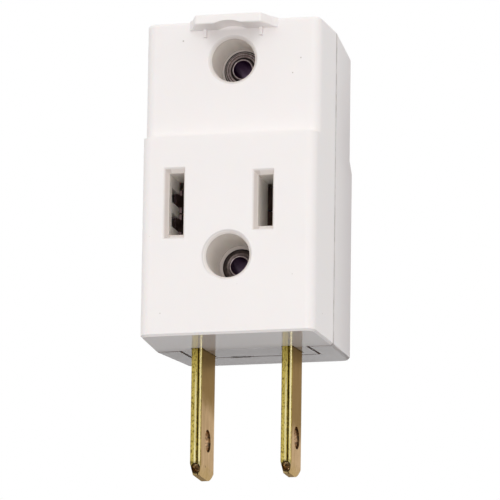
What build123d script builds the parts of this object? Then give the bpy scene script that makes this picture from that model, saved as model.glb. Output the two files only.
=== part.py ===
from build123d import *
import os
from math import copysign

# A two-pole plug-in adaptor: a riveted two-shell housing with an outlet in front, behind and on top
# X runs right, Y runs into the depth, Z runs up; the origin lies on the plug face between the blades

# Housing envelope
body_height = 45.0
parting_width = 25.5
front_side_draft = 0.35
back_side_draft = 1.0
body_depth = 25.4
front_depth = 10.4
back_bottom_rise = 1.0
back_top_drop = 1.0
step_z = 28.3
front_recess = 1.6
back_recess = 2.0
back_step_slope = 1.4
upright_edge_radius = 1.4
top_edge_radius = 0.45
foot_edge_bevel = 0.3
parting_groove = 0.25

# Walls
face_wall = 2.2
side_wall = 1.6
foot_wall = 2.2
top_wall = 2.0

# Tongues of the front shell that close round the blades below and the slots above
tongue_half_width = 8.9
foot_tongue_reach = 7.1
top_tongue_reach = 8.9
tongue_gap = 0.4

# Rivets and their counterbores
rivet_x = 0.0
lower_rivet_z = 11.1
upper_rivet_z = 39.3
counterbore_depth = 7.9
counterbore_radius = 3.1
counterbore_bevel = 0.45
boss_wall = 0.75
rivet_shank_radius = 1.65
rivet_bore_radius = 1.25
rivet_head_radius = 2.55
rivet_head_height = 0.65
rivet_head_bevel = 0.3
rivet_clearance = 0.1

# Hood over the upper counterbore
hood_x = 0.1
hood_reach = 3.5
hood_thickness = 1.35
hood_front_width = 9.4
hood_flare = 1.1
hood_flare_depth = 2.7
hood_root_width = 12.7
hood_notch_radius = 4.8
hood_rib_spacing = 8.0
hood_rib_width = 0.4
hood_rib_height = 1.1
hood_rib_depth = 0.7
hood_corner_radius = 0.4
hood_edge_bevel = 0.12

# Blades of folded sheet
pole_x = 6.35
leaf_thickness = 0.76
neutral_blade_width = 7.94
hot_blade_width = 6.35
blade_length = 17.8
blade_hole_radius = 1.59
blade_hole_drop = 12.4
seam_width = 0.14
seam_depth = 1.3
seam_shift = 0.24
seam_bevel = 0.1
edge_radius = 0.16
fold_radius = 0.7
tip_corner_radius = 2.9
tip_cut_depth = 0.6
tip_cut_height = 1.8
tip_bevel_height = 1.6
tip_bevel_depth = 0.32
roll_hollow_radius = 0.56
roll_hollow_depth = 1.2
tang_shoulder = 1.0
tang_height = 7.0
tang_root_height = 0.35
tang_spread_height = 1.1
blade_slot_clearance = 0.12

# Bus bars
bus_thickness = 0.7
bus_foot_gap = 0.4
bus_neck_half_width = 3.2
bus_edge_gap = 2.5
bus_head_half_width = 6.2
bus_shoulder_z = 12.4
bus_bend_z = 26.0
bus_bend_height = 1.1
bus_head_gap = 2.5
brass_fit = 0.03
blade_rivet_rise = 4.4

# Outlets: wide neutral slot and narrow hot slot
slot_z = 18.75
slot_shift = 1.15
slot_width = 2.1
neutral_slot_height = 8.8
hot_slot_height = 7.3
slot_bevel = 0.72
slot_lip = 0.3
guide_wall = 1.2
guide_depth = 4.0
guide_end_wall = 0.9
window_height = 2.0
window_spacing = 3.45

# Spring contacts
spring_thickness = 0.45
spring_standoff = 0.14
spring_grip = 0.5
spring_jog = 0.8
foot_y_near = 1.0
foot_y_far = 6.0
foot_top_gap = 0.1
foot_height = 2.4
finger_height = 3.2
finger_tab_height = 1.7
finger_bump_y = -4.6
outer_lip_gap = 3.1
inner_lip_gap = 0.3
finger_lip_flare = 1.0
top_finger_half_width = 3.3
top_finger_slit = 0.7
top_yoke_height = 3.4
top_yoke_rise = 0.6
top_bump_z = 36.5
top_lip_z = 39.6

# Small solid rivets
pin_radius = 0.65
pin_head_radius = 1.0
pin_head_height = 0.4
pin_head_bevel = 0.2
pin_sides = 12

# Posts and ribs that hold the bus bars
post_half_width = 1.2
post_height = 1.4
lower_post_z = 11.9
upper_post_z = 24.3
post_groove_depth = 0.6
post_fit = 0.05
rib_thickness = 1.0
rib_foot_z = 30.0
rib_gap_to_parting = 0.6

# Varistor, thermal fuse and their wires
varistor_radius = 5.4
varistor_thickness = 3.8
varistor_edge_bevel = 0.9
varistor_seat_gap = 0.15
pin_pitch = 7.5
pin_offset = 0.9
wire_radius = 0.3
wire_sides = 12
wire_socket = 1.2
neutral_wire_z = 28.8
fuse_z = 31.0
fuse_radius = 1.4
fuse_length = 5.0
fuse_back_y = 2.1
fuse_edge_bevel = 0.3
wire_y = -5.4
solder_radius = 0.95
solder_length = 0.9
solder_bevel = 0.5

# Cutters run this far past the faces they open, and places this near count as one
over = 0.5
near = 0.01

# Places that follow from the sizes above
front_face_y = -body_depth / 2
back_face_y = body_depth / 2
parting_y = front_face_y + front_depth
back_depth = body_depth - front_depth
front_panel_y = front_face_y + front_recess
back_panel_y = back_face_y - back_recess
front_rivet_y = front_face_y + counterbore_depth
back_rivet_y = back_face_y - counterbore_depth
boss_radius = counterbore_radius + boss_wall
blade_thickness = 2 * leaf_thickness
foot_top_z = bus_bend_z - foot_top_gap
contact_rivet_y = (foot_y_near + foot_y_far) / 2
contact_rivet_z = foot_top_z - foot_height / 2
blade_rivet_z = foot_wall + blade_rivet_rise
bus_head_offset = leaf_thickness + brass_fit + bus_thickness / 2
bus_half_width = body_depth / 2 - face_wall - bus_edge_gap
bus_head_face = pole_x + bus_head_offset - bus_thickness / 2
bus_top_z = body_height - top_wall - bus_head_gap
guide_y = front_face_y + face_wall + guide_depth
outer_lip_y = front_face_y + face_wall + outer_lip_gap
inner_lip_y = guide_y + inner_lip_gap
outer_slot_x = -pole_x - slot_shift
inner_slot_x = pole_x - slot_shift
varistor_z = lower_rivet_z + boss_radius + varistor_seat_gap + varistor_radius
pin_foot_z = varistor_z + (varistor_radius ** 2 - (pin_pitch / 2) ** 2) ** 0.5 - wire_socket
far = 4 * body_height
front_axis = Plane(origin=(0, 0, 0), x_dir=(1, 0, 0), z_dir=(0, -1, 0))
side_axis = Plane(origin=(0, 0, 0), x_dir=(0, 1, 0), z_dir=(1, 0, 0))


def block(x0, x1, y0, y1, z0, z1):
    # a rectangular block between two corners
    centre = ((x0 + x1) / 2, (y0 + y1) / 2, (z0 + z1) / 2)
    return Pos(*centre) * Box(abs(x1 - x0), abs(y1 - y0), abs(z1 - z0))


def half_turn(shape):
    # the same piece seen from behind, turned about the upright axis
    return Rot(0, 0, 180) * shape


def drafted(plan, side):
    # a solid with the given outline from above and from the side, both as point lists
    from_above = extrude(make_face(Polyline(*plan, close=True)), far, both=True)
    from_side = extrude(side_axis * make_face(Polyline(*side, close=True)), far, both=True)
    return from_above & from_side


def edges_along(shape, axis, test):
    # the straight edges along one axis that pass a test on their middle point
    return shape.edges().filter_by(axis).filter_by(lambda edge: test(edge.center()))


def cylinder_y(x, z, radius, y0, y1):
    # a round bar along the depth
    return Pos(x, (y0 + y1) / 2, z) * Rot(90, 0, 0) * Cylinder(radius, abs(y1 - y0))


def cone_y(x, z, radius0, radius1, y0, y1):
    # a straight cone along the depth, from y0 to y1
    outline = make_face(Polyline((0, y0), (radius0, y0), (radius1, y1), (0, y1), close=True))
    return Pos(x, 0, z) * revolve(outline, Axis.Y)


def half_width(y, inset=0.0):
    # half the width of the housing at one depth, less a wall
    slope = front_side_draft / front_depth if y < parting_y else back_side_draft / back_depth
    return parting_width / 2 - slope * abs(y - parting_y) - inset


def plan_outline(y0, y1, inset=0.0):
    # the outline from above between two depths
    return [(-half_width(y0, inset), y0), (half_width(y0, inset), y0),
            (half_width(y1, inset), y1), (-half_width(y1, inset), y1)]


def outer_front():
    # front half of the envelope, drafted, with its recessed upper panel
    side = [(front_face_y, 0), (parting_y, 0), (parting_y, body_height),
            (front_panel_y, body_height), (front_panel_y, step_z), (front_face_y, step_z)]
    body = drafted(plan_outline(front_face_y, parting_y), side)
    body = fillet(edges_along(body, Axis.Z, lambda c: c.Y < parting_y - over), upright_edge_radius)
    top = body.faces().sort_by(Axis.Z)[-1].edges()
    body = fillet(top.filter_by(lambda e: e.center().Y < parting_y - near), top_edge_radius)
    foot = body.faces().sort_by(Axis.Z)[0].edges()
    return chamfer(foot.filter_by(lambda e: e.center().Y < parting_y - near), foot_edge_bevel)


def outer_back():
    # back half of the envelope, drafted all round, with a sloping step to its upper panel
    rise = back_bottom_rise / back_depth
    drop = back_top_drop / back_depth
    panel_top = body_height - drop * (back_panel_y - parting_y)
    side = [(parting_y, 0), (back_face_y, rise * back_depth),
            (back_face_y, step_z - back_step_slope), (back_panel_y, step_z),
            (back_panel_y, panel_top), (parting_y, body_height)]
    body = drafted(plan_outline(parting_y, back_face_y), side)
    body = fillet(edges_along(body, Axis.Z, lambda c: c.Y > parting_y + over), upright_edge_radius)
    top = body.faces().sort_by(Axis.Z)[-1].edges()
    body = fillet(top.filter_by(lambda e: e.center().Y > parting_y + near), top_edge_radius)
    foot = body.faces().sort_by(Axis.Z)[0].edges()
    return chamfer(foot.filter_by(lambda e: e.center().Y > parting_y + near), foot_edge_bevel)


def cavity(y_open, y_wall, y_panel_wall, side):
    # the hollow inside one shell, open at the parting plane
    hollow = drafted(plan_outline(min(y_open, y_wall), max(y_open, y_wall), side_wall), side)
    return hollow - block(-far, far, y_panel_wall, y_panel_wall + copysign(far, y_wall),
                          step_z - face_wall, far)


def lead_in(face_plane, width, height, depth):
    # a bevelled mouth that narrows to a slot of the given size
    mouth = face_plane * Rectangle(width + 2 * depth, height + 2 * depth)
    return extrude(mouth, depth, taper=45)


def outlet_slot(x, height):
    # one blade slot through the front face; its mouth is bevelled less on the side towards +X
    face_plane = Plane(origin=(x, front_face_y, slot_z), x_dir=(1, 0, 0), z_dir=(0, 1, 0))
    edge = x + slot_width / 2
    slot = block(edge - slot_width, edge, front_face_y - over, guide_y + over,
                 slot_z - height / 2, slot_z + height / 2)
    mouth = lead_in(face_plane, slot_width, height, slot_bevel)
    return slot + (mouth - block(edge + slot_lip, far, -far, far, -far, far))


def outlet_cuts(outer_height, inner_height):
    # both slots, and the two windows beside the outer one that the spring fingers move in
    edge = outer_slot_x - slot_width / 2
    cuts = outlet_slot(outer_slot_x, outer_height) + outlet_slot(inner_slot_x, inner_height)
    for side in (-1, 1):
        z = slot_z + side * window_spacing / 2
        cuts += block(edge - guide_wall - over, edge + over, front_face_y + face_wall, guide_y + over,
                      z - window_height / 2, z + window_height / 2)
    return cuts


def outlet_guides(outer_height, inner_height):
    # the walls behind both slots that lead the blades to the springs
    guides = None
    for x, height, bus_face in ((outer_slot_x, outer_height, -pole_x - bus_thickness / 2),
                                (inner_slot_x, inner_height, pole_x - bus_thickness / 2)):
        reach = height / 2 + guide_end_wall
        guide = block(x - slot_width / 2 - guide_wall, bus_face - 2 * post_fit,
                      front_face_y + face_wall / 2, guide_y, slot_z - reach, slot_z + reach)
        guides = guide if guides is None else guides + guide
    return guides


def bus_posts():
    # grooved posts on the front wall that take the front edges of both bus bars
    posts, grooves = None, None
    tip = -bus_half_width + post_groove_depth
    for x in (-pole_x, pole_x):
        for z in (lower_post_z, upper_post_z):
            post = block(x - post_half_width, x + post_half_width, front_face_y + face_wall / 2,
                         tip, z, z + post_height)
            groove = block(x - bus_thickness / 2 - post_fit, x + bus_thickness / 2 + post_fit,
                           -bus_half_width - post_fit, tip + over, z - over, z + post_height + over)
            posts = post if posts is None else posts + post
            grooves = groove if grooves is None else grooves + groove
    return posts - grooves


def backing_ribs(y0, y1):
    # ribs under the top wall that back up the heads of the bus bars
    inner = pole_x + bus_head_offset + bus_thickness / 2 + post_fit
    rib = block(inner, inner + rib_thickness, y0, y1, rib_foot_z, body_height - top_wall)
    return rib + mirror(rib, Plane.YZ)


def rivet_boss(z, wall_y):
    # the post round one rivet, from the wall to the parting plane
    return cylinder_y(rivet_x, z, boss_radius, wall_y, parting_y)


def rivet_cuts(z, face_y, floor_y):
    # counterbore with a bevelled mouth, and the hole for the rivet
    inward = copysign(counterbore_bevel, floor_y - face_y)
    bore = cylinder_y(rivet_x, z, counterbore_radius, face_y - inward, floor_y)
    mouth = cone_y(rivet_x, z, counterbore_radius + counterbore_bevel, counterbore_radius,
                   face_y, face_y + inward)
    hole = cylinder_y(rivet_x, z, rivet_shank_radius + rivet_clearance, floor_y, parting_y)
    return bore + mouth + hole


def hood():
    # a short lip over the upper counterbore, cut away for the riveting tool, with two ribs
    root_y = front_panel_y
    tip_y = front_panel_y - hood_reach
    flare_y = tip_y + hood_flare_depth
    half = [(hood_front_width / 2, tip_y), (hood_front_width / 2 + hood_flare, flare_y),
            (hood_root_width / 2, root_y), (hood_root_width / 2, root_y + face_wall / 2)]
    outline = [(-x, y) for x, y in half] + [(x, y) for x, y in reversed(half)]
    under_z = body_height - hood_thickness
    lip = Pos(hood_x, 0, under_z) * extrude(make_face(Polyline(*outline, close=True)), hood_thickness)
    lip = fillet(edges_along(lip, Axis.Z, lambda c: c.Y < tip_y + near), hood_corner_radius)
    lip = chamfer(lip.edges().filter_by(Axis.X).filter_by(lambda e: e.center().Y < tip_y + near),
                  hood_edge_bevel)
    lip -= cylinder_y(rivet_x, upper_rivet_z, hood_notch_radius, tip_y - over, root_y)
    for side in (-1, 1):
        x = hood_x + side * hood_rib_spacing / 2
        lip += block(x - hood_rib_width / 2, x + hood_rib_width / 2, root_y - hood_rib_depth,
                     root_y + face_wall / 2, under_z - hood_rib_height, under_z + hood_thickness / 2)
    return lip


def tongue_zone(reach, gap, z0, z1, y_start):
    # the strip of the foot or top wall that belongs to the front shell
    half = tongue_half_width + gap
    return block(-half, half, y_start, parting_y + reach + gap, z0, z1)


def parting_bevel(shell):
    # a fine bevel round the outside of the parting face, so that the joint reads as a line
    face = shell.faces().filter_by(Axis.Y).filter_by(
        lambda f: abs(f.center().Y - parting_y) < near)[0]
    return chamfer(face.outer_wire().edges(), parting_groove)


def blade_cuts():
    # the slots for both blades through the foot, and for the top outlet through the top
    cuts = None
    for x, blade_width, slot_height in ((-pole_x, neutral_blade_width, neutral_slot_height),
                                        (pole_x, hot_blade_width, hot_slot_height)):
        half_x = blade_thickness / 2 + blade_slot_clearance
        half_y = blade_width / 2 + blade_slot_clearance
        foot = block(x - half_x, x + half_x, -half_y, half_y, -over, foot_wall + over)
        top = block(x - slot_width / 2, x + slot_width / 2, -slot_height / 2, slot_height / 2,
                    body_height - top_wall - over, body_height + over)
        top_plane = Plane(origin=(x, 0, body_height), x_dir=(1, 0, 0), z_dir=(0, 0, -1))
        both = foot + top + lead_in(top_plane, slot_width, slot_height, slot_bevel)
        cuts = both if cuts is None else cuts + both
    return cuts


def front_shell(front_blank, back_blank):
    # the moulded front half, with the tongues that reach over the parting plane
    inner_y = front_face_y + face_wall
    panel_inner_y = front_panel_y + face_wall
    side = [(inner_y, foot_wall), (parting_y + over, foot_wall),
            (parting_y + over, body_height - top_wall), (inner_y, body_height - top_wall)]
    shell = parting_bevel(front_blank) - cavity(parting_y + over, inner_y, panel_inner_y, side)
    whole = front_blank + back_blank
    start = parting_y - 2 * parting_groove
    shell += whole & tongue_zone(foot_tongue_reach, 0, -over, foot_wall, start)
    shell += whole & tongue_zone(top_tongue_reach, 0, body_height - top_wall, body_height + over, start)
    shell += hood() + outlet_guides(neutral_slot_height, hot_slot_height) + bus_posts()
    shell += backing_ribs(panel_inner_y - face_wall / 2, parting_y - rib_gap_to_parting)
    for z, face_y in ((lower_rivet_z, front_face_y), (upper_rivet_z, front_panel_y)):
        shell += rivet_boss(z, face_y + face_wall / 2)
    shell -= outlet_cuts(neutral_slot_height, hot_slot_height)
    for z, face_y in ((lower_rivet_z, front_face_y), (upper_rivet_z, front_panel_y)):
        shell -= rivet_cuts(z, face_y, front_rivet_y)
    return shell - blade_cuts()


def back_shell(back_blank):
    # the moulded back half, notched for the tongues of the front one
    inner_y = back_face_y - face_wall
    panel_inner_y = back_panel_y - face_wall
    rise = back_bottom_rise / back_depth
    drop = back_top_drop / back_depth
    reach = inner_y - parting_y
    side = [(parting_y - over, foot_wall - rise * over), (inner_y, foot_wall + rise * reach),
            (inner_y, body_height - top_wall - drop * reach),
            (parting_y - over, body_height - top_wall + drop * over)]
    shell = parting_bevel(back_blank) - cavity(parting_y - over, inner_y, panel_inner_y, side)
    shell += half_turn(outlet_guides(hot_slot_height, neutral_slot_height) + bus_posts())
    shell += backing_ribs(parting_y + rib_gap_to_parting, panel_inner_y + face_wall / 2)
    for z, face_y in ((lower_rivet_z, back_face_y), (upper_rivet_z, back_panel_y)):
        shell += rivet_boss(z, face_y - face_wall / 2)
    shell -= half_turn(outlet_cuts(hot_slot_height, neutral_slot_height))
    for z, face_y in ((lower_rivet_z, back_face_y), (upper_rivet_z, back_panel_y)):
        shell -= rivet_cuts(z, face_y, back_rivet_y)
    shell -= tongue_zone(foot_tongue_reach, tongue_gap, -over, foot_wall + rise * back_depth,
                         parting_y - over)
    shell -= tongue_zone(top_tongue_reach, tongue_gap, body_height - top_wall - drop * back_depth,
                         body_height + over, parting_y - over)
    return shell


def hollow_rivet(z):
    # an eyelet through both shells, its heads rolled over in the counterbores
    crown = rivet_head_radius - rivet_head_bevel
    section = Polyline((rivet_bore_radius, front_rivet_y - rivet_head_height),
                       (crown, front_rivet_y - rivet_head_height), (rivet_head_radius, front_rivet_y),
                       (rivet_shank_radius, front_rivet_y), (rivet_shank_radius, back_rivet_y),
                       (rivet_head_radius, back_rivet_y), (crown, back_rivet_y + rivet_head_height),
                       (rivet_bore_radius, back_rivet_y + rivet_head_height), close=True)
    return Pos(rivet_x, 0, z) * revolve(make_face(section), Axis.Y)


def pin_hole(y, z):
    # a long bar along X through one rivet place
    return Pos(0, y, z) * extrude(side_axis * RegularPolygon(pin_radius, pin_sides), far, both=True)


def low_disc(x, y, z, outward, radius, height, bevel):
    # a polygonal disc that stands on a plane across X, with its outer edges bevelled
    face = Plane(origin=(x, y, z), x_dir=(0, 1, 0), z_dir=(outward, 0, 0))
    disc = extrude(face * RegularPolygon(radius, pin_sides), height)
    outer = disc.faces().sort_by(Axis.X)[-1 if outward > 0 else 0]
    return chamfer(outer.edges(), bevel)


def pin_rivet(x0, x1, y, z):
    # a small solid rivet along X, with a flat bevelled head at each end
    rivet = pin_hole(y, z) & block(x0, x1, -far, far, -far, far)
    for x, outward in ((x0, -1), (x1, 1)):
        rivet += low_disc(x, y, z, outward, pin_head_radius, pin_head_height, pin_head_bevel)
    return rivet


def blade(x, width):
    # sheet folded flat at the back edge and rolled in at the front, where a seam leads to the open
    # end of the roll at the tip; above the foot its two leaves spread round the bus bar
    half_thick, half_wide = blade_thickness / 2, width / 2
    section = Rectangle(blade_thickness, width)
    section = fillet(section.vertices().filter_by(lambda v: v.Y > 0), fold_radius)
    section = fillet(section.vertices().filter_by(lambda v: v.Y < near - half_wide), edge_radius)
    section -= Pos(seam_shift, seam_depth / 2 - half_wide) * Rectangle(seam_width, seam_depth)
    mouth = section.vertices().filter_by(
        lambda v: v.Y < near - half_wide and abs(v.X - seam_shift) < seam_width)
    section = chamfer(mouth, seam_bevel)
    flat = Pos(0, 0, -blade_length) * extrude(section, blade_length + foot_wall)
    tip_z = -blade_length
    tip_side = Polyline((-half_wide, far), (-half_wide, tip_z + tip_cut_height),
                        (tip_cut_depth - half_wide, tip_z), (half_wide, tip_z), (half_wide, far),
                        close=True)
    tip_side = make_face(tip_side)
    back_corner = tip_side.vertices().filter_by(lambda v: v.X > 0 and v.Y < 0)
    flat &= extrude(side_axis * fillet(back_corner, tip_corner_radius), far, both=True)
    bevel = Polyline((-half_thick + tip_bevel_depth, tip_z), (half_thick - tip_bevel_depth, tip_z),
                     (half_thick, tip_z + tip_bevel_height), (half_thick, far),
                     (-half_thick, far), (-half_thick, tip_z + tip_bevel_height), close=True)
    flat &= extrude(front_axis * make_face(bevel), far, both=True)
    flat -= Pos(0, 0, -blade_hole_drop) * Rot(0, 90, 0) * Cylinder(blade_hole_radius, far)
    roll_end = Plane(origin=(0, tip_cut_depth / 2 - half_wide, tip_z + tip_cut_height / 2),
                     z_dir=(0, -tip_cut_height, -tip_cut_depth))
    flat -= roll_end * Cylinder(roll_hollow_radius, 2 * roll_hollow_depth)
    gap = bus_thickness / 2 + brass_fit
    spread_z = foot_wall + tang_spread_height
    top_z = foot_wall + tang_height
    leaf = Polyline((0, foot_wall), (0, foot_wall + tang_root_height), (gap, spread_z), (gap, top_z),
                    (gap + leaf_thickness, top_z), (gap + leaf_thickness, spread_z),
                    (half_thick, foot_wall), close=True)
    tang_half = half_wide + tang_shoulder
    tang = extrude(front_axis * make_face(leaf), tang_half, both=True)
    tang += mirror(tang, Plane.YZ)
    tang -= pin_hole(0, blade_rivet_z)
    return Pos(x, 0, 0) * (flat + tang)


def bus_bar(side):
    # a flat bar from the blade tang to the top outlet, bent outward under the top blade path
    x = side * pole_x
    head_x = side * (pole_x + bus_head_offset)
    half = bus_thickness / 2
    foot_z = foot_wall + tang_spread_height + bus_foot_gap
    profile = Polyline((x - half, foot_z), (x + half, foot_z), (x + half, bus_bend_z),
                       (head_x + half, bus_bend_z + bus_bend_height), (head_x + half, bus_top_z),
                       (head_x - half, bus_top_z), (head_x - half, bus_bend_z + bus_bend_height),
                       (x - half, bus_bend_z), close=True)
    bar = extrude(front_axis * make_face(profile), bus_half_width, both=True)
    outline = Polyline((bus_neck_half_width, foot_z), (bus_neck_half_width, bus_shoulder_z),
                       (bus_half_width, bus_shoulder_z), (bus_half_width, bus_bend_z),
                       (bus_head_half_width, bus_bend_z), (bus_head_half_width, bus_top_z),
                       (-bus_head_half_width, bus_top_z), (-bus_head_half_width, bus_bend_z),
                       (-bus_half_width, bus_bend_z), (-bus_half_width, bus_shoulder_z),
                       (-bus_neck_half_width, bus_shoulder_z), (-bus_neck_half_width, foot_z),
                       close=True)
    bar &= extrude(side_axis * make_face(outline), far, both=True)
    for y, z in ((0, blade_rivet_z), (contact_rivet_y, contact_rivet_z),
                 (-contact_rivet_y, contact_rivet_z)):
        bar -= pin_hole(y, z)
    return bar


def strip(points):
    # the section of a bent spring strip along a line of points, with mitred bends
    runs = [(Vector(*b) - Vector(*a)).normalized() for a, b in zip(points, points[1:])]
    left, right = [], []
    for point, before, after in zip(points, runs[:1] + runs, runs + runs[-1:]):
        across = (before + after).normalized().rotate(Axis.Z, 90)
        reach = across * (spring_thickness / 2 / across.dot(before.rotate(Axis.Z, 90)))
        left.append(Vector(*point) + reach)
        right.append(Vector(*point) - reach)
    return make_face(Polyline(*left, *reversed(right), close=True))


def face_contact(lip_y):
    # spring of a front or back outlet, as distances from the bus plane: riveted above the blade
    # path, a spine standing off it, and two fingers that spring towards the bus bar
    half = bus_thickness / 2
    foot_u = half + spring_thickness / 2
    spine_u = half + brass_fit + blade_thickness + spring_standoff + spring_thickness / 2
    bump_u = half + blade_thickness - spring_grip + spring_thickness / 2
    top, low = foot_top_z - spring_thickness / 2, slot_z - neutral_slot_height / 2
    knee = foot_top_z - foot_height
    spine = extrude(front_axis * strip([(foot_u, top), (foot_u, knee), (spine_u, knee - spring_jog),
                                        (spine_u, low)]), far, both=True)
    spine &= block(-far, far, foot_y_near, foot_y_far, -far, far)
    spring = strip([(spine_u, foot_y_near + over), (spine_u, 0), (bump_u, finger_bump_y),
                    (bump_u + finger_lip_flare, lip_y)])
    for side in (-1, 1):
        z = slot_z + side * window_spacing / 2
        finger = Pos(0, 0, z) * extrude(spring, finger_height / 2, both=True)
        tab_gap = block(-far, far, -far, inner_lip_y, z + finger_tab_height / 2, far)
        tab_gap += block(-far, far, -far, inner_lip_y, -far, z - finger_tab_height / 2)
        spine += finger - tab_gap
    return spine - pin_hole(contact_rivet_y, contact_rivet_z)


def top_contact():
    # spring of the top outlet, as distances from the bus plane: riveted beside a face contact,
    # a yoke, and two fingers that rise past the blade path
    half = bus_thickness / 2
    foot_u = half + spring_thickness / 2
    yoke_u = leaf_thickness + spring_standoff + spring_thickness / 2 + bus_thickness / 2
    bump_u = leaf_thickness - spring_grip + spring_thickness / 2
    foot = foot_top_z - foot_height + spring_thickness / 2
    yoke_top = foot_top_z + top_yoke_height
    profile = strip([(foot_u, foot), (foot_u, foot_top_z), (yoke_u, foot_top_z + spring_jog),
                     (yoke_u, yoke_top), (bump_u, top_bump_z),
                     (bump_u + finger_lip_flare, top_lip_z)])
    spring = extrude(front_axis * profile, far, both=True)
    outline = Polyline((foot_y_near, foot - over), (foot_y_far, foot - over), (foot_y_far, yoke_top),
                       (top_finger_half_width, yoke_top), (top_finger_half_width, far),
                       (-top_finger_half_width, far), (-top_finger_half_width, foot_top_z + top_yoke_rise),
                       (foot_y_near, foot_top_z + top_yoke_rise), close=True)
    spring &= extrude(side_axis * make_face(outline), far, both=True)
    spring -= block(-far, far, -top_finger_slit / 2, top_finger_slit / 2, yoke_top, far)
    return spring - pin_hole(contact_rivet_y, contact_rivet_z)


def on_bus(spring, bus_side, face_side, depth_side):
    # set a contact against one face of one bus bar; it may face front or back
    if face_side < 0:
        spring = mirror(spring, Plane.YZ)
    if depth_side < 0:
        spring = mirror(spring, Plane.XZ)
    return Pos(bus_side * pole_x, 0, 0) * spring


def varistor():
    # a coated disc on edge between the poles, with sockets where its two wires enter
    disc = Rot(0, 90, 0) * Cylinder(varistor_radius, varistor_thickness)
    disc = chamfer(disc.edges().filter_by(GeomType.CIRCLE), varistor_edge_bevel)
    disc = Pos(0, 0, varistor_z) * disc
    return disc - neutral_lead() - link_lead()


def wire(points):
    # a wire along a bent line, with mitred bends
    path = Polyline(*points)
    start = Plane(origin=path @ 0, z_dir=path % 0)
    return sweep(start * RegularPolygon(wire_radius, wire_sides), path=path, transition=Transition.RIGHT)


def neutral_lead():
    # from the front of the varistor to the neutral bus bar
    start = (-pin_offset, -pin_pitch / 2, pin_foot_z)
    corner = (-pin_offset, -pin_pitch / 2, neutral_wire_z)
    turn = (-pin_offset, wire_y, neutral_wire_z)
    return wire([start, corner, turn, (-bus_head_face, wire_y, neutral_wire_z)])


def link_lead():
    # from the back of the varistor up to the fuse
    start = (pin_offset, pin_pitch / 2, pin_foot_z)
    corner = (pin_offset, pin_pitch / 2, fuse_z)
    return wire([start, corner, (pin_offset, fuse_back_y - wire_socket, fuse_z)])


def hot_lead():
    # from the fuse to the hot bus bar
    start = (pin_offset, fuse_back_y - fuse_length + wire_socket, fuse_z)
    turn = (pin_offset, wire_y, fuse_z)
    return wire([start, turn, (bus_head_face, wire_y, fuse_z)])


def thermal_fuse():
    # a small sealed cylinder in line with its wires
    body = cylinder_y(pin_offset, fuse_z, fuse_radius, fuse_back_y - fuse_length, fuse_back_y)
    body = chamfer(body.edges().filter_by(GeomType.CIRCLE), fuse_edge_bevel)
    return body - link_lead() - hot_lead()


def solder_joint(side, z):
    # a small cone of solder round the end of a wire, against the bus bar
    joint = low_disc(side * bus_head_face, wire_y, z, -side, solder_radius, solder_length, solder_bevel)
    return joint - (neutral_lead() if side < 0 else hot_lead())


front_blank = outer_front()
back_blank = outer_back()
face_stack = bus_thickness / 2 + spring_thickness
tang_stack = bus_thickness / 2 + brass_fit + leaf_thickness
contact_rivets = []
for side in (-1, 1):
    x = side * pole_x
    double = sorted((x - face_stack, x + face_stack))
    single = sorted((x - side * face_stack, x + side * bus_thickness / 2))
    contact_rivets.append(pin_rivet(*double, -side * contact_rivet_y, contact_rivet_z))
    contact_rivets.append(pin_rivet(*single, side * contact_rivet_y, contact_rivet_z))

parts = {
    "front_shell": front_shell(front_blank, back_blank),
    "back_shell": back_shell(back_blank),
    "upper_rivet": hollow_rivet(upper_rivet_z),
    "lower_rivet": hollow_rivet(lower_rivet_z),
    "neutral_blade": blade(-pole_x, neutral_blade_width),
    "hot_blade": blade(pole_x, hot_blade_width),
    "neutral_bus_bar": bus_bar(-1),
    "hot_bus_bar": bus_bar(1),
    "neutral_front_contact": on_bus(face_contact(outer_lip_y), -1, -1, 1),
    "hot_front_contact": on_bus(face_contact(inner_lip_y), 1, -1, 1),
    "neutral_back_contact": on_bus(face_contact(inner_lip_y), -1, 1, -1),
    "hot_back_contact": on_bus(face_contact(outer_lip_y), 1, 1, -1),
    "neutral_top_contact": on_bus(top_contact(), -1, 1, 1),
    "hot_top_contact": on_bus(top_contact(), 1, -1, -1),
    "blade_rivets": Compound([pin_rivet(x - tang_stack, x + tang_stack, 0, blade_rivet_z)
                              for x in (-pole_x, pole_x)]),
    "contact_rivets": Compound(contact_rivets),
    "varistor": varistor(),
    "thermal_fuse": thermal_fuse(),
    "neutral_lead": neutral_lead(),
    "link_lead": link_lead(),
    "hot_lead": hot_lead(),
    "solder_joints": Compound([solder_joint(-1, neutral_wire_z), solder_joint(1, fuse_z)]),
}

os.makedirs("parts", exist_ok=True)
for name, shape in parts.items():
    export_step(shape, f"parts/{name}.step")
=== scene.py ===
import math
import bpy
import numpy as np
from mathutils import Matrix, Vector


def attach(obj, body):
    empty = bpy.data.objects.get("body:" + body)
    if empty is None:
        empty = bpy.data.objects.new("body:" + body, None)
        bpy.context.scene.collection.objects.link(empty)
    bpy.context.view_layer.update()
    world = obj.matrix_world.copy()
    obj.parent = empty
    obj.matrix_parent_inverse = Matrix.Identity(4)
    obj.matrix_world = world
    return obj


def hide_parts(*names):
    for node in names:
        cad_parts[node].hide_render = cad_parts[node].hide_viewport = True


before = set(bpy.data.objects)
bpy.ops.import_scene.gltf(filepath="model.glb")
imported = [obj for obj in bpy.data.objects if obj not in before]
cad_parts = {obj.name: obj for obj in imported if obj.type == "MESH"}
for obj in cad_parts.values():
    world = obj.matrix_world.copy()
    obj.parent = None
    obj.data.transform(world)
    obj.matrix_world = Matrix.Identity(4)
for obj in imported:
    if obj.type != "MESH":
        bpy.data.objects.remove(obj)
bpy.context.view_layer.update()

# Camera: a long lens a little below the adaptor and to its right, turned slightly about its own
# axis, so that the front, the right side and the plug face all show.
turn, climb, roll = math.radians(14.26), math.radians(13.0), math.radians(0.83)
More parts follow.
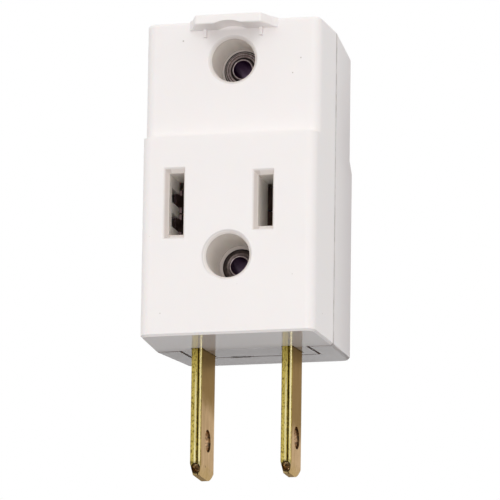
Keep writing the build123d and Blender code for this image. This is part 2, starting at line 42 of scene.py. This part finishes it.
distance, pixels_per_metre, picture_width = 0.9, 7154.5, 500
aim = Vector((0.00005, 0.0, 0.01464))
ahead = Vector((-math.sin(turn) * math.cos(climb), math.cos(turn) * math.cos(climb), math.sin(climb)))
level = Vector((math.cos(turn), math.sin(turn), 0.0))
right = level * math.cos(roll) + level.cross(ahead) * math.sin(roll)
camera = bpy.data.objects.new("camera", bpy.data.cameras.new("camera"))
bpy.context.scene.collection.objects.link(camera)
camera.data.lens = pixels_per_metre * distance / picture_width * camera.data.sensor_width
camera.data.clip_start, camera.data.clip_end = 0.01, 10.0
axes = Matrix((right, right.cross(ahead), -ahead)).transposed().to_4x4()
camera.matrix_world = Matrix.Translation(aim - ahead * distance) @ axes
bpy.context.scene.camera = camera
bpy.context.scene.view_settings.view_transform = "Standard"

# Studio: white all round for the lens and in reflections, a slightly dimmer sky for the soft light,
# a lamp beside the camera that lights what it sees, and a larger one behind.
soft_light, seen_white = 0.9, 1.0
lamps_face = Vector((0.0, 0.0, 0.02))
world = bpy.data.worlds.new("studio")
world.use_nodes = True
bpy.context.scene.world = world
sky = world.node_tree
paths = sky.nodes.new("ShaderNodeLightPath")
seen = paths.outputs["Is Camera Ray"]
for ray in ("Is Glossy Ray", "Is Transmission Ray"):
    either = sky.nodes.new("ShaderNodeMath")
    either.operation = "MAXIMUM"
    sky.links.new(seen, either.inputs[0])
    sky.links.new(paths.outputs[ray], either.inputs[1])
    seen = either.outputs[0]
strength = sky.nodes.new("ShaderNodeMapRange")
strength.inputs["To Min"].default_value = soft_light
strength.inputs["To Max"].default_value = seen_white
sky.links.new(seen, strength.inputs["Value"])
sky.links.new(strength.outputs[0], sky.nodes["Background"].inputs["Strength"])
sky.nodes["Background"].inputs["Color"].default_value = (1.0, 1.0, 1.0, 1.0)


def lamp(name, place, size, power):
    """A square lamp that faces the middle of the housing."""
    light = bpy.data.objects.new(name, bpy.data.lights.new(name, "AREA"))
    light.data.size, light.data.energy = size, power
    light.location = place
    light.rotation_mode = "QUATERNION"
    light.rotation_quaternion = (lamps_face - Vector(place)).to_track_quat("-Z", "Y")
    bpy.context.scene.collection.objects.link(light)


lamp("front_lamp", (0.25, -1.05, -0.2), 0.5, 4.75)
lamp("back_lamp", (-0.3, 1.2, 0.8), 0.9, 1.5)

# Floor: a wide pale sheet of card far below the adaptor, a little uneven in tone, with painted shade
# at the back, where the foot mirrors it. Its finish, like all the others, is made with the two
# classes.
floor_half, floor_z = 4.0, -0.32
sheet = bpy.data.meshes.new("floor")
sheet.from_pydata([(across * floor_half, along * floor_half, floor_z)
                   for across, along in ((-1, -1), (1, -1), (1, 1), (-1, 1))], [], [(0, 1, 2, 3)])
floor = bpy.data.objects.new("floor", sheet)
bpy.context.scene.collection.objects.link(floor)


class Value:
    """One output of a material's tree, used in sums and products like a number, on either side."""

    def __init__(self, finish, socket):
        self.finish, self.socket = finish, socket

    def maths(self, operation, other=0.0, swap=False):
        pair = (other, self) if swap else (self, other)
        return self.finish.node("ShaderNodeMath", {"operation": operation}, {0: pair[0], 1: pair[1]})

    def __add__(self, other):
        return self.maths("ADD", other)

    def __mul__(self, other):
        return self.maths("MULTIPLY", other)

    def __sub__(self, other):
        return self.maths("SUBTRACT", other)

    def __rsub__(self, other):
        return self.maths("SUBTRACT", other, swap=True)

    def __abs__(self):
        return self.maths("ABSOLUTE")

    __radd__, __rmul__ = __add__, __mul__


class Finish:
    """A material in the making. Places are in millimetres in the adaptor's own frame."""

    def __init__(self, name, **uniform):
        self.material = bpy.data.materials.new(name)
        self.material.use_nodes = True
        self.tree = self.material.node_tree
        self.shader = self.tree.nodes["Principled BSDF"]
        for key, value in uniform.items():
            self.shader.inputs[key.replace("_", " ")].default_value = value
        place = self.node("ShaderNodeTexCoord", {}, {}, "Object")
        self.place = self.node("ShaderNodeVectorMath", {"operation": "SCALE"},
                               {"Vector": place, "Scale": 1000.0})
        self.x, self.y, self.z = (self.node("ShaderNodeSeparateXYZ", {}, {0: self.place}, axis)
                                  for axis in "XYZ")

    def node(self, kind, settings, inputs, output=0):
        """Any other node: its type, its settings, what it is fed, and which output is wanted."""
        node = self.tree.nodes.new(kind)
        for key, value in settings.items():
            setattr(node, key, value)
        for key, value in inputs.items():
            if isinstance(value, Value):
                self.tree.links.new(value.socket, node.inputs[key])
            else:
                node.inputs[key].default_value = value
        return Value(self, node.outputs[output])

    def noise(self, size, detail=2.0, stretch=(1.0, 1.0, 1.0), shift=0.0):
        """Soft noise from 0 to 1 with features of about the given size in millimetres."""
        spread = self.node("ShaderNodeVectorMath", {"operation": "MULTIPLY_ADD"},
                           {0: self.place, 1: tuple(1 / (size * s) for s in stretch),
                            2: (shift, shift, shift)})
        return self.node("ShaderNodeTexNoise", {}, {"Vector": spread, "Scale": 1.0, "Detail": detail})

    def step(self, value, low, high):
        """0 below low, 1 above high and smooth between; low may be the larger of the two."""
        return self.node("ShaderNodeMapRange", {"interpolation_type": "SMOOTHSTEP"},
                         {"Value": value, "From Min": low, "From Max": high})

    def band(self, value, low, high, soft):
        """1 between low and high, 0 outside, with soft sides of the given width."""
        return self.step(value, low - soft, low) * self.step(value, high + soft, high)

    def reach(self, across, along):
        """The distance from an axis, from the two offsets square to it."""
        offset = self.node("ShaderNodeCombineXYZ", {}, {0: across, 1: along})
        return self.node("ShaderNodeVectorMath", {"operation": "LENGTH"}, {0: offset}, 1)

    def blend(self, factor, low, high):
        """The colour low where factor is 0 and high where it is 1."""
        fed = {0: factor}
        for key, colour in ((6, low), (7, high)):
            fed[key] = colour if isinstance(colour, Value) else (*colour, 1.0)
        return self.node("ShaderNodeMix", {"data_type": "RGBA"}, fed, 2)

    def give(self, **fed):
        """Feeds varying values to the shader's sockets."""
        for key, value in fed.items():
            self.tree.links.new(value.socket, self.shader.inputs[key.replace("_", " ")])

    def bump(self, height, size):
        """Relief from a height of 0 to 1, the given number of millimetres deep."""
        self.give(Normal=self.node("ShaderNodeBump", {}, {"Height": height, "Strength": 1.0,
                                                          "Distance": size / 1000}))

    def onto(self, *nodes):
        """Puts the material on the named pieces of the frame."""
        for name in nodes:
            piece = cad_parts[name]
            piece.data.materials.clear()
            piece.data.materials.append(self.material)


card = Finish("pale_card", Roughness=0.9)
pale = card.blend(card.noise(300.0), (0.42, 0.41, 0.41), (0.47, 0.46, 0.46))
# painted shade: the card goes nearly black from 1.3 m to 2.4 m behind the adaptor
card.give(Base_Color=card.blend(card.step(card.y, 1300.0, 2400.0), pale, (0.07, 0.065, 0.065)))
sheet.materials.append(card.material)

# Housing: two shells moulded in warm white plastic, held together by the hollow rivets. Faces are
# satin and the foot glossy. Painted shade darkens the back shell, the foot, one side of a counterbore
# rim and the panel under the hood, and makes the openings greyer inside, with painted warm light on
# their walls. Dirt lies in the joint, round the front shell's tongue in the foot, and in specks.
lower_rivet_z, upper_rivet_z, counterbore_floor = 11.1, 39.3, 4.8
face_y, step_low, step_high, hood_notch_z = 12.7, 26.0, 28.3, 43.6
parting_y, tongue_side, tongue_end, tongue_gap = -2.3, 8.9, 4.8, 0.4
# specks in the faces: x, z and radius
specks = [(-7.15, 42.3, 0.16), (9.75, 39.1, 0.13), (8.6, 37.0, 0.13), (-9.4, 3.2, 0.1),
          (9.3, 8.0, 0.08)]
for shell, recess, facing in (("front_shell", 1.6, 1.0), ("back_shell", 2.0, -1.0)):
    white = Finish("moulded_white_" + shell, Specular_IOR_Level=0.5, Subsurface_Weight=0.15,
                   Subsurface_Radius=(1.0, 0.7, 0.5), Subsurface_Scale=0.0008, Coat_IOR=1.7,
                   Coat_Roughness=0.06)
    x, y, z, side = white.x, white.y, white.z, abs(white.x)
    cloud = white.noise(9.0)
    panel = white.step(z, step_low, step_high) * recess
    behind = white.step(y + panel, parting_y, 13.0)
    tint = white.blend(cloud, (0.89, 0.852, 0.838), (0.92, 0.88, 0.866))
    # painted shade: the back shell, behind the parting, darkens towards the back and less near the
    # top
    back_painted_shade = (0.13 + behind * 0.3) * white.step(y, parting_y - 0.1, parting_y + 0.1)
    back_painted_shade = back_painted_shade * (1.0 - white.step(z, 30.0, 44.0) * 0.4)
    tint = white.blend(back_painted_shade, tint, (0.3, 0.25, 0.26))
    # painted light in the openings, told by their depth under the face: bevelled mouths, walls,
    # counterbore floors
    depth = face_y - abs(y) - panel
    sunk = white.step(depth, 0.05, 0.35)
    sunk = sunk * white.step(side, 11.0, 10.6) * white.band(z, 3.0, 43.4, 0.3)
    # painted shade: the mouths' bevels greyer, the left bevels of the slots darker
    shaded_left_bevels = white.band(x * facing, -9.4, -8.3, 0.1) + white.band(x * facing, 3.3, 4.4, 0.1)
    mouth_painted_shade = white.blend(shaded_left_bevels, (0.8, 0.74, 0.7), (0.67, 0.6, 0.56))
    # painted warm bounce light on the deeper walls
    opening_painted_light = white.blend(white.step(depth, 0.55, 0.85), mouth_painted_shade, (0.95, 0.89, 0.83))
    # painted shade on the counterbore floors, and a painted shadow ring round the upper rivet's head
    shaded_seat = white.band(abs(y), counterbore_floor - 0.1, counterbore_floor + 0.1, 0.1)
    opening_painted_light = white.blend(shaded_seat * 0.7, opening_painted_light, (0.36, 0.3, 0.28))
    head_shadow_ring = white.band(white.reach(x, z - upper_rivet_z), 2.64, 2.78, 0.04)
    tint = white.blend(sunk, tint, white.blend(shaded_seat * head_shadow_ring, opening_painted_light, (0.015, 0.008, 0.01)))
    # dirt in the joint and round the tongue; painted shade on the foot and at the lower counterbore's
    # edge; painted shadow under the hood
    foot = white.step(z - behind * 0.95, 0.45, 0.2)
    worn = white.step(white.noise(1.6, 3.0, shift=3.0), 0.3, 0.7)
    joint = white.band(y, parting_y - 0.25, parting_y + 0.25, 0.2) * white.step(side, 8.8, 9.1)
    tongue = white.band(side, tongue_side, tongue_side + tongue_gap, 0.08) * white.band(
        y, parting_y, tongue_end + tongue_gap, 0.05)
    tongue = tongue + white.band(y, tongue_end, tongue_end + tongue_gap, 0.08) * white.step(
        side, tongue_side + tongue_gap, tongue_side)
    # painted shade on the foot: darker from the parting back and more near the back edge, half as
    # strong at the right end
    foot_painted_shade = white.step(y, parting_y - 3.0, parting_y + 2.0) * 0.52 + white.step(y, 8.0, 13.0) * 0.2
    foot_painted_shade = foot * foot_painted_shade * (0.5 + white.step(x, 10.0, 5.0) * 0.5)
    # painted shade: a thin dark line on one side of the lower counterbore's rim
    rim_painted_shade = white.band(white.reach(x, z - lower_rivet_z), 3.48, 3.62, 0.06)
    rim_painted_shade = rim_painted_shade * white.step(z - lower_rivet_z - x * facing, -2.0, 2.0)
    # painted shadow of the hood on the panel below its notch
    hood_painted_shadow = white.step(white.reach(x, z - hood_notch_z), 4.8, 2.4) * white.step(z, 44.0, 43.4)
    hood_painted_shadow = hood_painted_shadow * white.step(y, -10.0, -10.8)
    dirt_and_painted_shade = joint * (0.25 + worn * 0.3) + tongue * foot * (0.4 + worn * 0.5) + foot_painted_shade
    dirt_and_painted_shade = dirt_and_painted_shade + rim_painted_shade * 0.2 + hood_painted_shadow * 0.24
    dash = foot * white.band(y, tongue_end - 0.5, tongue_end + 0.8, 0.15) * white.band(
        x, -3.5, -0.9, 0.3) * white.step(white.noise(0.5, 1.0, shift=21.0), 0.36, 0.48)
    speck = white.step(white.noise(0.6, 0.0, shift=40.0), 0.89, 0.92) * white.step(z, 27.0, 25.0)
    for speck_x, speck_z, radius in specks:
        speck = speck + white.step(white.reach(x - speck_x, z - speck_z), radius, radius / 2)
    # the dirt and the painted shade darken the surface in one colour
    surface = white.blend(dirt_and_painted_shade, tint, (0.2, 0.155, 0.14))
    surface = white.blend(dash * 0.85, surface, (0.02, 0.012, 0.01))
    white.give(Base_Color=white.blend(speck * 0.6, surface, (0.4, 0.34, 0.27)),
               Roughness=0.42 - foot * 0.29 + dash * 0.5 + cloud * 0.06,
               Coat_Weight=foot * 0.8 * (1.0 - dash) * (1.0 - foot_painted_shade * 0.6))
    white.bump(white.noise(0.35, 3.0), 0.004)
    white.onto(shell)

# Blades: brass sheet folded double, pierced, and rolled in at the front edge, held to the bus bars
# inside. The rolled edge is bright and pitted, with painted highlight bands, and the flats pinkish,
# with painted shade, olive near the housing and dark behind the rolled edge. The hole, the seam and
# the open end of the roll are brown with tarnish, with a painted lit crescent in the hole and a
# painted glint.
blade_x, leaf, neutral_front, front_shift = 6.35, 0.76, -3.97, 0.795
tip_z, tip_cut, hole_z, hole_radius, roll_z = -17.8, 1.8, -12.4, 1.59, -16.9
spot_y, spot_z, glint_x, glint_z = -1.07, -16.2, 0.1, -17.15
brass = Finish("blade_brass", Metallic=1.0, Specular_Tint=(0.85, 0.69, 0.53, 1.0))
hot_side = brass.step(brass.x, -0.1, 0.1)
behind_edge = brass.y - neutral_front - hot_side * front_shift
across = brass.x + blade_x - hot_side * 2 * blade_x
edge = brass.step(behind_edge, 0.5, 0.05) * brass.step(abs(across), leaf + 0.04, leaf - 0.04)
grain = brass.noise(0.12, 3.0, stretch=(1.0, 1.0, 40.0))
stain = brass.noise(2.2, 4.0)
pits = brass.step(brass.noise(0.2, 3.0, stretch=(1.0, 1.0, 1.8), shift=9.0), 0.5, 0.62)
streak = brass.step(brass.noise(0.22, 2.0, stretch=(1.0, 1.0, 30.0), shift=2.0), 0.4, 0.6)
rolled = brass.blend(stain, (0.28, 0.215, 0.035), (0.66, 0.53, 0.14))
rolled = brass.blend(pits * 0.7, rolled, (0.09, 0.055, 0.006))
# painted highlights: two bright bands along the rolled edge, one on each side of the seam
painted_highlight_bands = brass.band(across, -0.16, 0.0, 0.08) * brass.step(brass.z + stain * 4.0, 1.0, -5.0)
painted_highlight_bands = painted_highlight_bands + brass.band(across, 0.5, 0.64, 0.06)
rolled = brass.blend(painted_highlight_bands * (0.6 + streak * 0.4), rolled, (0.74, 0.66, 0.37))
flat = brass.blend(streak * 0.4 + stain * 0.6, (0.36, 0.25, 0.13), (0.72, 0.56, 0.37))
# painted shade: the flats go dark olive near the housing
root_painted_shade = brass.step(brass.z + stain * 4.0 + hot_side * 4.0, -7.5, -4.0)
flat = brass.blend(root_painted_shade * 0.9, flat, (0.18, 0.112, 0.026))
ochre = brass.step(brass.z + stain * 2.0, -14.6, -16.4)
flat = brass.blend(ochre * 0.5, flat, (0.55, 0.42, 0.16))
# painted shade: a dark strip on the flats just behind the rolled edge
corner_painted_shade = brass.step(behind_edge, 0.75, 0.35) * (1.0 - edge)
flat = brass.blend(corner_painted_shade * 0.6, flat, (0.25, 0.17, 0.035))
from_hole = brass.reach(brass.y, brass.z - hole_z)
bored = brass.step(from_hole, hole_radius + 0.08, hole_radius + 0.02)
bored = bored * brass.step(abs(across), leaf, leaf - 0.06)
from_roll = brass.reach(across, (brass.z - roll_z) * 0.92)
past_cut = behind_edge + (brass.z - tip_z - tip_cut) * 0.333
roll_rim = brass.band(from_roll, 0.56, 0.66, 0.04) * brass.step(past_cut, 0.12, 0.06)
roll_end = brass.step(from_roll, 0.6, 0.57) * brass.step(behind_edge, 2.0, 1.6) + roll_rim
seam = brass.band(across, 0.17, 0.31, 0.03) * brass.step(behind_edge, 1.5, 1.2) * (0.1 + pits * 0.6)
spot = brass.step(brass.reach(brass.y - spot_y, brass.z - spot_z), 0.2, 0.12) * (1.0 - hot_side)
tarnish = brass.step(brass.noise(0.35, 2.0, shift=5.0), 0.4, 0.6)
tarnish_and_painted_glints = brass.blend(tarnish, (0.025, 0.012, 0.005), (0.16, 0.085, 0.03))
# painted highlights on the tarnish: a lit crescent in the hole and a glint low on the end of the roll
crescent = bored * brass.step(across, 0.5, 0.3)
glint = brass.step(brass.reach(across - glint_x, brass.z - glint_z), 0.24, 0.16)
tarnish_and_painted_glints = brass.blend((crescent + glint) * (0.45 + tarnish * 0.5), tarnish_and_painted_glints, (0.95, 0.68, 0.42))
tarnish_and_painted_glints = brass.blend(roll_rim, tarnish_and_painted_glints, (0.01, 0.005, 0.002))
hidden = brass.step(bored + roll_end + seam + spot * 0.8, 0.0, 1.0)
brass.give(Base_Color=brass.blend(hidden * 0.92, brass.blend(edge, flat, rolled), tarnish_and_painted_glints),
           Roughness=0.3 - edge * 0.06 + grain * 0.18)
brass.bump(grain - pits * edge * 0.6, 0.006)
brass.onto("neutral_blade", "hot_blade")

# Hollow rivets: plated tube whose ends were rolled outwards into heads at the floors of the
# counterbores. Each is one outline, tube and two heads, carried round the rivet's axis. The upper
# head has painted highlight rings and one dark groove, the lower one painted shade that darkens
# outwards; both have a painted highlight round the lip of the bore.
shank, bore, head, head_height = 1.65, 1.25, 2.55, 0.65
lip_half, lip_rise, rim_half, rim_rise = 0.14, 0.15, 0.35, 0.32


def rivet_outline():
    """Half of the section, from the middle of the bore outwards over one head and back along the
    shank: points (radius, distance beyond the counterbore floor), arcs by cosine and sine."""
    turn_in = np.linspace(0.0, math.pi, 13)
    lip = np.stack([bore + lip_half - lip_half * np.cos(turn_in),
                    head_height - lip_rise + lip_rise * np.sin(turn_in)], axis=1)
    dents = np.array([(1.56, 0.36), (1.66, 0.33), (1.74, 0.42), (1.86, 0.46), (1.98, 0.43),
                      (2.06, 0.36)])
    turn_out = np.linspace(0.5 * math.pi, -0.1, 9)
    rim = np.stack([head - rim_half + rim_half * np.cos(turn_out),
                    0.05 + rim_rise * np.sin(turn_out)], axis=1)
    return np.concatenate([lip, dents, rim, [(head - 0.05, 0.0), (shank, 0.0)]])


def carried_round(outline, centre_z, sides=96):
    """Each outline point (r, y) becomes the ring (r cos a, y, z + r sin a) for a round the circle.
    The corners of each face go round it so that it points out of the metal."""
    angle = np.linspace(0.0, 2 * math.pi, sides, endpoint=False)
    radius, depth = outline[:, :1], outline[:, 1:]
    ring = np.stack([radius * np.cos(angle), depth + 0.0 * angle,
                     centre_z + radius * np.sin(angle)], axis=2)
    here = np.arange(len(outline))[:, None] * sides + np.arange(sides)[None, :]
    beside = np.roll(here, -1, axis=1)
    faces = np.stack([here, np.roll(here, -1, axis=0), np.roll(beside, -1, axis=0), beside], axis=2)
    return ring.reshape(-1, 3) / 1000, faces.reshape(-1, 4)


tube = Finish("rivet_metal", Metallic=1.0)
upper = tube.step(tube.z, 24.0, 26.0)
from_axis = tube.reach(tube.x, tube.z - lower_rivet_z - upper * (upper_rivet_z - lower_rivet_z))
blotch = tube.noise(0.35, 3.0)
plating = tube.blend(blotch, (0.06, 0.045, 0.042), (0.22, 0.18, 0.17))
groove = tube.band(from_axis, 1.64, 1.74, 0.05) * upper
# painted shade: the lower head darkens outwards, to a painted shadow line at its edge
lower_head_painted_shade = tube.step(from_axis, 1.5, 2.4) * 0.7 + tube.step(from_axis, 2.4, 2.46)
groove_and_painted_shade = groove + lower_head_painted_shade * (1.0 - upper)
plating = tube.blend(groove_and_painted_shade * 0.95, plating, (0.006, 0.004, 0.005))
# painted highlights: bright rings on the upper head, and one round the lip of each bore
painted_highlight_rings = (tube.band(from_axis, 1.9, 2.0, 0.05) + tube.band(from_axis, 2.2, 2.34, 0.05)) * upper
painted_highlight_rings = painted_highlight_rings + tube.band(from_axis, 1.36, 1.44, 0.04)
plating = tube.blend(painted_highlight_rings * (blotch * 1.6 - 0.2), plating, (0.56, 0.48, 0.5))
inside = tube.step(from_axis, bore + 0.05, bore + 0.01)
tube.give(Base_Color=tube.blend(inside, plating, (0.1, 0.012, 0.11)),
          Roughness=0.28 + blotch * 0.25)
tube.bump(blotch, 0.01)
half = rivet_outline()
outline = np.concatenate([half * (1, -1) + (0, -counterbore_floor),
                          half[::-1] + (0, counterbore_floor)])
for name, centre_z in (("lower_rivet", lower_rivet_z), ("upper_rivet", upper_rivet_z)):
    points, faces = carried_round(outline, centre_z)
    mesh = bpy.data.meshes.new(name + "_turned")
    mesh.from_pydata(points.tolist(), [], faces.tolist())
    mesh.polygons.foreach_set("use_smooth", np.ones(len(faces), dtype=bool))
    mesh.materials.append(tube.material)
    rivet = bpy.data.objects.new(name + "_turned", mesh)
    bpy.context.scene.collection.objects.link(rivet)
    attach(rivet, "root")
    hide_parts(name)

# Spring contacts: dull bronze strip, one for each pole of each outlet, riveted to the bus bar. Its
# two fingers press a plug's blade against the bar.
spring = Finish("spring_bronze", Metallic=1.0)
haze = spring.noise(1.2, 3.0)
spring.give(Base_Color=spring.blend(haze, (0.16, 0.11, 0.115), (0.34, 0.25, 0.25)),
            Roughness=0.4 + haze * 0.2)
spring.onto("neutral_front_contact", "hot_front_contact", "neutral_back_contact",
            "hot_back_contact", "neutral_top_contact", "hot_top_contact")

# Bus bars: stamped brass with faint rolling lines, one for each pole, bent a little outward under
# the top outlet. The small rivets through them hold the blades and the contacts.
bar = Finish("bus_brass", Metallic=1.0)
lines = bar.noise(0.2, 2.0, stretch=(1.0, 1.0, 30.0))
bar.give(Base_Color=bar.blend(lines, (0.5, 0.36, 0.14), (0.68, 0.52, 0.24)),
         Roughness=0.3 + lines * 0.2)
bar.onto("neutral_bus_bar", "hot_bus_bar", "blade_rivets", "contact_rivets")

# Varistor: the surge absorber, a disc dipped in blue epoxy that sagged a little as it set. It stands
# on edge between the poles, above the boss of the lower rivet.
epoxy = Finish("varistor_coating")
sag = epoxy.noise(2.0, 2.0)
epoxy.give(Base_Color=epoxy.blend(sag, (0.03, 0.1, 0.34), (0.05, 0.15, 0.45)),
           Roughness=0.2 + sag * 0.15)
epoxy.bump(sag, 0.15)
epoxy.onto("varistor")

# Thermal fuse: a drawn metal can, in line with its wires between the varistor and the hot bus bar.
# It parts them when the varistor runs hot.
can = Finish("fuse_case", Metallic=1.0)
drawn = can.noise(0.15, 2.0, stretch=(1.0, 30.0, 1.0))
can.give(Base_Color=can.blend(drawn, (0.5, 0.48, 0.44), (0.66, 0.64, 0.6)),
         Roughness=0.3 + drawn * 0.2)
can.onto("thermal_fuse")

# Wires and solder: tinned copper wire, bent by hand from the varistor to the fuse and the bus bars,
# and the cones of solder that fix it to the bars.
tin = Finish("tinned_wire", Metallic=1.0)
drag = tin.noise(0.6, 3.0)
tin.give(Base_Color=tin.blend(drag, (0.55, 0.54, 0.52), (0.75, 0.74, 0.72)),
         Roughness=0.25 + drag * 0.2)
tin.bump(drag, 0.02)
tin.onto("neutral_lead", "link_lead", "hot_lead", "solder_joints")
